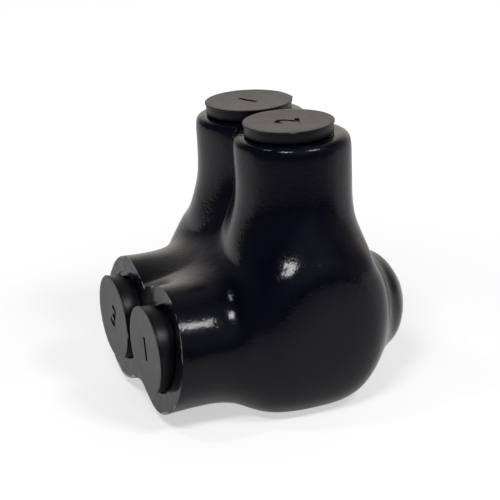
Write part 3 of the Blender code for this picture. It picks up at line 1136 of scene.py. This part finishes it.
# Marks of each lobe's head: the number, and the turns of its nib and its number in degrees.
CAP_MARKS = (("2", -19.0, 160.0), ("1", 80.0, 115.0))
PLUG_MARKS = (("1", 188.0, 8.0), ("3", -5.0, -25.0))


def stopper_points(head, thickness, stem, length):
    """The outline of a cap or plug from the middle of its face down to its tip. Z = 0 is the
    underside of the head."""
    body = head - LIP
    points = [(head * out, thickness - DISH * deep) for out, deep in DISH_SHAPE]
    points += [
        (head - 3 * EDGE, thickness),
        (head - EDGE, thickness - 0.3 * EDGE),
        (head, thickness - EDGE * 1.4),
        (head, thickness - LIP_HEIGHT + EDGE),
        (head - EDGE * 0.5, thickness - LIP_HEIGHT),
        (body, thickness - LIP_HEIGHT - LIP_SLOPE),
        (body, 2 * EDGE),
        (body - 0.5 * EDGE, EDGE * 0.6),
        (body - 2 * EDGE, 0.0),
        (stem + STEM_FILLET, 0.0),
        (stem, -STEM_FILLET),
    ]
    for number in range(RIBS):
        peak = -RIB_PITCH * (number + 1)
        points += [
            (stem, peak + RIB_HEIGHT),
            (stem + RIB_HEIGHT * 0.85, peak + RIB_CREST),
            (stem + RIB_HEIGHT, peak),
            (stem + RIB_HEIGHT * 0.85, peak - RIB_CREST),
            (stem, peak - RIB_HEIGHT),
        ]
    points += [(stem - back, -length + up) for back, up in TIP_SHAPE]
    return points + [(0.0, -length)]


def number_cutter(text, height, top, depth):
    """A body in the shape of a number, to sink it into a face at a height."""
    curve = bpy.data.curves.new("number", "FONT")
    curve.body = text
    curve.size = height * FONT_SIZE
    curve.align_x = "CENTER"
    curve.align_y = "CENTER"
    curve.extrude = depth
    curve.offset = STROKE_GAIN
    curve.resolution_u = 4
    helper = helper_object("number", curve)
    mesh = made_real(helper)
    bpy.data.objects.remove(helper)
    bpy.data.curves.remove(curve)
    bm = bmesh.new()
    bm.from_mesh(mesh)
    bmesh.ops.remove_doubles(bm, verts=bm.verts, dist=MERGE / 10)
    bmesh.ops.translate(bm, vec=(0.0, 0.0, top), verts=bm.verts)
    bmesh.ops.recalc_face_normals(bm, faces=bm.faces)
    bm.to_mesh(mesh)
    bm.free()
    return mesh


def draw_nib(bm, head, thickness, turn):
    """Draws a small nib of flash out of the lip of a head."""
    for point in bm.verts:
        radius = math.hypot(point.co.x, point.co.y)
        if radius < head * NIB_ROOT or point.co.z < thickness - LIP_HEIGHT - MERGE:
            continue
        away = math.atan2(point.co.y, point.co.x) - turn
        away = abs((away + math.pi) % FULL_TURN - math.pi) * radius
        if away < NIB_HALF_WIDTH:
            push = NIB_REACH * (1.0 - away / NIB_HALF_WIDTH) ** NIB_POINT
            point.co += Vector((math.cos(turn), math.sin(turn), -NIB_DROOP)) * push


def stopper_mesh(head, thickness, stem, length, mark, settings):
    """A cap or plug with a sunk number, and a small nib of flash on the edge of its head."""
    text, nib_turn, text_turn = mark
    bm = lathe(stopper_points(head, thickness, stem, length))
    draw_nib(bm, head, thickness, math.radians(nib_turn))
    cutter = number_cutter(text, settings.mark_height, thickness, settings.mark_depth)
    cutter.transform(Matrix.Rotation(math.radians(text_turn), 4, "Z"))
    mesh = boolean(mesh_from(bm, "stopper"), cutter)
    if not mesh.polygons:
        raise RuntimeError("the number %s couldn't be sunk into its head" % text)
    # Faces on top take the paler material, whose colour is painted sheen.
    for face in mesh.polygons:
        at_top = face.center.z > thickness - FACE_DEPTH
        face.material_index = int(at_top and face.normal.z > FACE_LEVEL)
    shade(mesh, 32.0)
    return mesh


def add_stoppers(settings, kind, node, sizes, marks, lean, place):
    """Both caps or both plugs: leant over from upright, and put in place along Y and Z."""
    finishes = rubber_finishes(settings)
    for (number, x), mark in zip(LOBES, marks):
        mesh = stopper_mesh(*sizes, mark, settings)
        mesh.transform(Matrix.Rotation(lean, 4, "X"))
        mesh.transform(Matrix.Translation((x, *place)))
        add_piece(
            "rubber_%s_%d" % (kind, number),
            mesh,
            "%s_%d" % (kind, number),
            ["%s_%d" % (node, number)],
            finishes,
        )


class SPLICE_OT_caps(bpy.types.Operator):
    """Build the two caps of the towers"""

    bl_idname = "splice.caps"
    bl_label = "Screw caps"

    def execute(self, context):
        base = CAP_HIGH.z - CAP_THICKNESS
        sizes = (
            (CAP_HIGH.x - CAP_LOW.x) / 2,
            CAP_THICKNESS,
            TOWER_BORE - STEM_GAP,
            base - CAP_LOW.z,
        )
        settings = context.scene.splice_connector.stoppers
        add_stoppers(settings, "cap", "screw_cap", sizes, CAP_MARKS, 0.0, (0.0, base))
        return {"FINISHED"}


class SPLICE_OT_plugs(bpy.types.Operator):
    """Build the two plugs of the sleeves"""

    bl_idname = "splice.plugs"
    bl_label = "Wire plugs"

    def execute(self, context):
        base = PLUG_LOW.y + PLUG_THICKNESS
        sizes = (
            (PLUG_HIGH.x - PLUG_LOW.x) / 2,
            PLUG_THICKNESS,
            SLEEVE_BORE - STEM_GAP,
            PLUG_HIGH.y - base,
        )
        settings = context.scene.splice_connector.stoppers
        place = (base, WIRE_HEIGHT)
        add_stoppers(settings, "plug", "wire_plug", sizes, PLUG_MARKS, QUARTER_TURN, place)
        return {"FINISHED"}


# Terminal block and set screws

THREAD_DEPTH = 0.85 * MM
THREAD_STEPS = 48
# Half the flat of a thread's crest and root, as a share of the pitch.
CREST_SHARE = 0.08
# Chamfers of a screw: how far in from its side at the point and at the top, and the top's slope.
POINT_IN = 1.9 * MM
TOP_IN = 0.9 * MM
TOP_SLOPE = 1.3
# The socket: its depth, and the drill's length over it, point, taper and countersink.
SOCKET_DEPTH = 8.0 * MM
DRILL_OVER = 1.0 * MM
DRILL_POINT = 2.0 * MM
DRILL_TAPER = 0.1 * MM
COUNTERSINK = 1.2 * MM
COUNTERSINK_DEPTH = 0.6 * MM
# Turn of a screw in degrees, for each unit of its number.
SCREW_TURN = 20.0


def screw_mesh(settings):
    """A set screw with a thread, a chamfered point and a hex socket, with its tip at Z = 0."""
    radius = (SCREW_HIGH.x - SCREW_LOW.x) / 2
    length = SCREW_HIGH.z - SCREW_LOW.z
    pitch = settings.thread_pitch
    root = radius - THREAD_DEPTH
    crest = CREST_SHARE * pitch
    # The thread starts under the screw and ends over it, and is then cut to length.
    turns = int(length / pitch) + 3
    start = -1.5 * pitch
    tooth = (
        (root, start),
        (root, start + crest),
        (radius, start + pitch / 2 - crest),
        (radius, start + pitch / 2 + crest),
        (root, start + pitch - crest),
        (root, start + pitch),
    )
    bm = bmesh.new()
    bmesh.ops.spin(
        bm,
        geom=profile(bm, tooth),
        cent=(0.0, 0.0, 0.0),
        axis=(0.0, 0.0, 1.0),
        dvec=(0.0, 0.0, pitch / THREAD_STEPS),
        angle=FULL_TURN * turns,
        steps=THREAD_STEPS * turns,
    )
    bmesh.ops.remove_doubles(bm, verts=bm.verts, dist=MERGE)
    for height, normal in ((0.0, (0.0, 0.0, -1.0)), (length, (0.0, 0.0, 1.0))):
        bmesh.ops.bisect_plane(
            bm,
            geom=bm.verts[:] + bm.edges[:] + bm.faces[:],
            plane_co=(0.0, 0.0, height),
            plane_no=normal,
            clear_outer=True,
        )
        rim = [edge for edge in bm.edges if edge.is_boundary and on_height(edge, height)]
        bmesh.ops.holes_fill(bm, edges=rim, sides=0)
    for point in bm.verts:
        tip = radius - POINT_IN + point.co.z
        top = radius - TOP_IN + (length - point.co.z) * TOP_SLOPE
        limit = min(tip, top)
        away = math.hypot(point.co.x, point.co.y)
        if away > limit:
            point.co.x *= limit / away
            point.co.y *= limit / away
    bmesh.ops.remove_doubles(bm, verts=bm.verts, dist=MERGE)
    bmesh.ops.recalc_face_normals(bm, faces=bm.faces)
    mesh = mesh_from(bm, "set_screw")
    mesh = boolean(mesh, socket_mesh(settings.key_size, length))
    shade(mesh, 30.0)
    return mesh


def on_height(edge, height):
    """Whether an edge lies level at a height."""
    return all(abs(point.co.z - height) < MERGE for point in edge.verts)


def socket_mesh(key_size, top):
    """A hex socket with a drilled end and a countersunk mouth, as a cutting body."""
    corner = key_size / 2 / math.cos(math.pi / 6)
    hexagon = bmesh.new()
    bmesh.ops.create_cone(
        hexagon,
        cap_ends=True,
        segments=6,
        radius1=corner,
        radius2=corner,
        depth=2 * SOCKET_DEPTH,
        matrix=Matrix.Translation((0.0, 0.0, top)),
    )
    drilled = lathe(
        [
            (0.0, top + DRILL_OVER),
            (corner + COUNTERSINK, top + DRILL_OVER),
            (key_size / 2, top - COUNTERSINK_DEPTH),
            (key_size / 2 - DRILL_TAPER, top - SOCKET_DEPTH),
            (0.0, top - SOCKET_DEPTH - DRILL_POINT),
        ],
        THREAD_STEPS,
    )
    return boolean(mesh_from(hexagon, "hexagon"), mesh_from(drilled, "drilled"), "UNION")


class SPLICE_OT_screws(bpy.types.Operator):
    """Build the two set screws"""

    bl_idname = "splice.screws"
    bl_label = "Set screws"

    def execute(self, context):
        settings = context.scene.splice_connector.metal
        finish = metal_finish(
            "machined_screw",
            tuple(settings.screw_colour),
            roughness=0.3,
            stretch=(1.0, 1.0, 0.3),
            distance=0.01 * MM,
        )
        for number, x in LOBES:
            mesh = screw_mesh(settings)
            mesh.transform(Matrix.Rotation(math.radians(SCREW_TURN * number), 4, "Z"))
            mesh.transform(Matrix.Translation((x, 0.0, SCREW_LOW.z)))
            add_piece(
                "threaded_screw_%d" % number,
                mesh,
                "screw_%d" % number,
                ["set_screw_%d" % number],
                (finish,),
            )
        return {"FINISHED"}


class SPLICE_OT_block(bpy.types.Operator):
    """Give the terminal block its plated, machined finish"""

    bl_idname = "splice.block"
    bl_label = "Terminal block"

    def execute(self, context):
        settings = context.scene.splice_connector.metal
        finish = metal_finish(
            "plated_block",
            tuple(settings.block_colour),
            roughness=0.33,
            stretch=(1.0, 0.15, 1.0),
            distance=0.015 * MM,
        )
        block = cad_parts["terminal_block"]
        block.data.materials.clear()
        block.data.materials.append(finish)
        return {"FINISHED"}


# Stage

FLOOR_HALF = 3.0
FLOOR_ROUGHNESS = 0.9
FLOOR_SPECULAR = 0.1
# Fades of the floor: where each starts and ends, in metres, and its levels there. The first
# three run towards the camera: two dim the floor's colour, and one is the glow behind the
# object that its gloss mirrors. The last is the glow that the camera sees, away from the object.
NEAR_DIMMING = (0.05, 0.3, 1.0, 0.45)
FRONT_DIMMING = (0.0, 0.05, 1.0, 0.72)
MIRRORED_GLOW = (0.0, 0.14, 0.33, 0.0)
SEEN_GLOW = (0.06, 0.2, 0.56, 0.8)
# Fades of the surroundings, by the cosine of the angle to the dim side or by height: their light
# from dim to pale, their dimming overhead, and their warmth.
DIM_SIDE = 30.0
ROOM_LIGHT = (0.15, -0.75, 0.09, 0.85)
OVERHEAD = (0.25, 0.75, 1.0, 0.3)
WARMTH = (0.3, -0.6, 0.0, 1.0)
# Soft patches of light and of shade in the surroundings: azimuth, elevation and radius in
# degrees, and level.
PATCHES = ((95.0, 48.0, 50.0, 0.2),)
SHADES = ((160.0, 22.0, 60.0, 0.75),)
WARM, COOL = (1.08, 1.0, 0.92), (0.9, 0.93, 1.15)
LAMP_DISTANCE = 0.45
LAMP_TARGET = Vector((0.0, 0.0, 28.0 * MM))
# What the camera looks at: right of the middle of the wires and over it, in its own view.
CAMERA_SHIFT = Vector((-5.430 * MM, 12.636 * MM))
SENSOR_WIDTH = 36.0
CLIP_START = 10.0 * MM
CLIP_END = 20.0
# Lamps: name, azimuth and elevation in degrees, width and height in metres, and radiance.
LAMPS = (
    ("front_lamp", 51.0, 50.0, 0.11, 0.07, 22.0),
    ("side_lamp", 116.0, 48.0, 0.09, 0.07, 20.0),
    ("left_lamp", -15.0, 63.0, 0.05, 0.05, 18.0),
)


def from_direction(azimuth, elevation):
    """The unit vector towards a direction. Azimuth 0 is -Y and a quarter turn is +X."""
    level = math.cos(elevation)
    return Vector(
        (math.sin(azimuth) * level, -math.cos(azimuth) * level, math.sin(elevation))
    )


def add_camera(settings):
    """The camera at the photograph's viewing angle."""
    back = from_direction(settings.azimuth, settings.elevation)
    right = Vector((math.cos(settings.azimuth), math.sin(settings.azimuth), 0.0))
    up = back.cross(right)
    target = right * CAMERA_SHIFT.x + up * CAMERA_SHIFT.y + Vector((0.0, 0.0, WIRE_HEIGHT))
    turned = Matrix.Rotation(settings.roll, 3, back)
    axes = Matrix((turned @ right, turned @ up, back)).transposed()
    data = bpy.data.cameras.new("camera")
    data.lens = settings.lens
    data.sensor_width = SENSOR_WIDTH
    data.clip_start = CLIP_START
    data.clip_end = CLIP_END
    camera = bpy.data.objects.new("camera", data)
    camera.matrix_world = Matrix.Translation(target + back * settings.distance) @ axes.to_4x4()
    bpy.context.scene.collection.objects.link(camera)
    bpy.context.scene.camera = camera


def add_lamps(level):
    """Rectangular lamps that all face the object."""
    for name, azimuth, elevation, width, height, radiance in LAMPS:
        way = from_direction(math.radians(azimuth), math.radians(elevation))
        data = bpy.data.lights.new(name, "AREA")
        data.shape = "RECTANGLE"
        data.size = width
        data.size_y = height
        data.energy = radiance * math.pi * width * height * level
        lamp = bpy.data.objects.new(name, data)
        lamp.location = LAMP_TARGET + way * LAMP_DISTANCE
        lamp.rotation_euler = (-way).to_track_quat("-Z", "Y").to_euler()
        bpy.context.scene.collection.objects.link(lamp)


def towards(tree, place, azimuth, elevation=0.0):
    """How far a place or a way reaches towards a direction, as a socket."""
    node = add_node(tree, "ShaderNodeVectorMath", operation="DOT_PRODUCT")
    node.inputs[1].default_value = from_direction(azimuth, elevation)
    tree.links.new(place, node.inputs[0])
    return node.outputs["Value"]


def ranged(tree, value, low, high, first, last):
    """A number that runs smoothly from first to last while the value runs from low to high."""
    places = {"From Min": low, "From Max": high, "To Min": first, "To Max": last}
    node = add_node(tree, "ShaderNodeMapRange", places, interpolation_type="SMOOTHSTEP")
    tree.links.new(value, node.inputs["Value"])
    return node.outputs["Result"]


def add_floor(colour, azimuth):
    """A wide pale floor. It keeps the object's shadow, reads as white to the camera, and fades
    into a dim room on the camera's side for the rays that are mirrored by the object."""
    bm = bmesh.new()
    bmesh.ops.create_grid(bm, x_segments=1, y_segments=1, size=FLOOR_HALF)
    floor = bpy.data.objects.new("floor", mesh_from(bm, "floor"))
    material = bpy.data.materials.new("floor_paper")
    material.use_nodes = True
    tree = material.node_tree
    shader = tree.nodes["Principled BSDF"]
    shader.inputs["Roughness"].default_value = FLOOR_ROUGHNESS
    shader.inputs["Specular IOR Level"].default_value = FLOOR_SPECULAR
    place = add_node(tree, "ShaderNodeTexCoord").outputs["Object"]
    near = towards(tree, place, azimuth)
    rays = add_node(tree, "ShaderNodeLightPath")
    seen = rays.outputs["Is Camera Ray"]
    fade = ranged(tree, near, *NEAR_DIMMING)
    front = ranged(tree, near, *FRONT_DIMMING)
    share = math_node(tree, "MAXIMUM", math_node(tree, "MULTIPLY", fade, front), seen)
    tint = add_node(tree, "ShaderNodeVectorMath", {0: colour}, operation="SCALE")
    tree.links.new(share, tint.inputs["Scale"])
    tree.links.new(tint.outputs[0], shader.inputs["Base Color"])
    behind = ranged(tree, near, *MIRRORED_GLOW)
    mirrored_glow = math_node(tree, "MULTIPLY", behind, rays.outputs["Is Glossy Ray"])
    distance = add_node(tree, "ShaderNodeVectorMath", operation="LENGTH")
    tree.links.new(place, distance.inputs[0])
    pale = ranged(tree, distance.outputs["Value"], *SEEN_GLOW)
    seen_glow = math_node(tree, "MULTIPLY", seen, pale)
    shader.inputs["Emission Color"].default_value = (1.0, 1.0, 1.0, 1.0)
    glow = math_node(tree, "ADD", seen_glow, mirrored_glow)
    tree.links.new(glow, shader.inputs["Emission Strength"])
    floor.data.materials.append(material)
    bpy.context.scene.collection.objects.link(floor)


def soft_patch(tree, way, azimuth, elevation, radius, level):
    """A round patch in the surroundings that fades towards its edge."""
    facing = towards(tree, way, math.radians(azimuth), math.radians(elevation))
    return ranged(tree, facing, math.cos(math.radians(radius)), 1.0, 0.0, level)


def add_surroundings():
    """Soft surroundings: pale behind the object, dim on the camera's side. White to the camera."""
    world = bpy.data.worlds.new("studio")
    bpy.context.scene.world = world
    world.use_nodes = True
    tree = world.node_tree
    ground = tree.nodes["Background"]
    way = add_node(tree, "ShaderNodeTexCoord").outputs["Generated"]
    facing = towards(tree, way, math.radians(DIM_SIDE))
    behind = ranged(tree, facing, *ROOM_LIGHT)
    split = add_node(tree, "ShaderNodeSeparateXYZ")
    tree.links.new(way, split.inputs[0])
    high = ranged(tree, split.outputs["Z"], *OVERHEAD)
    light = math_node(tree, "MULTIPLY", behind, high)
    for shade in SHADES:
        lit = math_node(tree, "SUBTRACT", 1.0, soft_patch(tree, way, *shade))
        light = math_node(tree, "MULTIPLY", light, lit)
    for patch in PATCHES:
        light = math_node(tree, "ADD", light, soft_patch(tree, way, *patch))
    tint = mix_node(tree, "VECTOR", ranged(tree, facing, *WARMTH), COOL, WARM)
    tree.links.new(tint, ground.inputs["Color"])
    tree.links.new(light, ground.inputs["Strength"])
    white = add_node(tree, "ShaderNodeBackground", {"Color": (1.0, 1.0, 1.0, 1.0), "Strength": 1.0})
    rays = add_node(tree, "ShaderNodeLightPath")
    pick = add_node(tree, "ShaderNodeMixShader")
    tree.links.new(rays.outputs["Is Camera Ray"], pick.inputs[0])
    tree.links.new(ground.outputs[0], pick.inputs[1])
    tree.links.new(white.outputs[0], pick.inputs[2])
    tree.links.new(pick.outputs[0], tree.nodes["World Output"].inputs["Surface"])


class SPLICE_OT_stage(bpy.types.Operator):
    """Build the floor, the lamps, the surroundings and the camera"""

    bl_idname = "splice.stage"
    bl_label = "Stage"

    def execute(self, context):
        settings = context.scene.splice_connector.stage
        context.scene.view_settings.view_transform = "Standard"
        add_floor(tuple(settings.floor_colour), settings.azimuth)
        add_surroundings()
        add_lamps(settings.lamp_level)
        add_camera(settings)
        return {"FINISHED"}


class SPLICE_PT_panel(bpy.types.Panel):
    """Lists the operators in the sidebar"""

    bl_idname = "SPLICE_PT_panel"
    bl_label = "Splice connector"
    bl_space_type = "VIEW_3D"
    bl_region_type = "UI"
    bl_category = "Splice connector"

    def draw(self, context):
        for operator in OPERATORS:
            self.layout.operator(operator.bl_idname)


OPERATORS = (
    SPLICE_OT_jacket,
    SPLICE_OT_block,
    SPLICE_OT_screws,
    SPLICE_OT_caps,
    SPLICE_OT_plugs,
    SPLICE_OT_stage,
)
CLASSES = (
    JacketSettings,
    StopperSettings,
    MetalSettings,
    StageSettings,
    SpliceSettings,
    *OPERATORS,
    SPLICE_PT_panel,
)


def register():
    for item in CLASSES:
        bpy.utils.register_class(item)
    bpy.types.Scene.splice_connector = bpy.props.PointerProperty(type=SpliceSettings)


def unregister():
    del bpy.types.Scene.splice_connector
    for item in reversed(CLASSES):
        bpy.utils.unregister_class(item)


def main():
    register()
    bpy.ops.splice.jacket()
    bpy.ops.splice.block()
    bpy.ops.splice.screws()
    bpy.ops.splice.caps()
    bpy.ops.splice.plugs()
    bpy.ops.splice.stage()


if __name__ == "__main__":
    main()
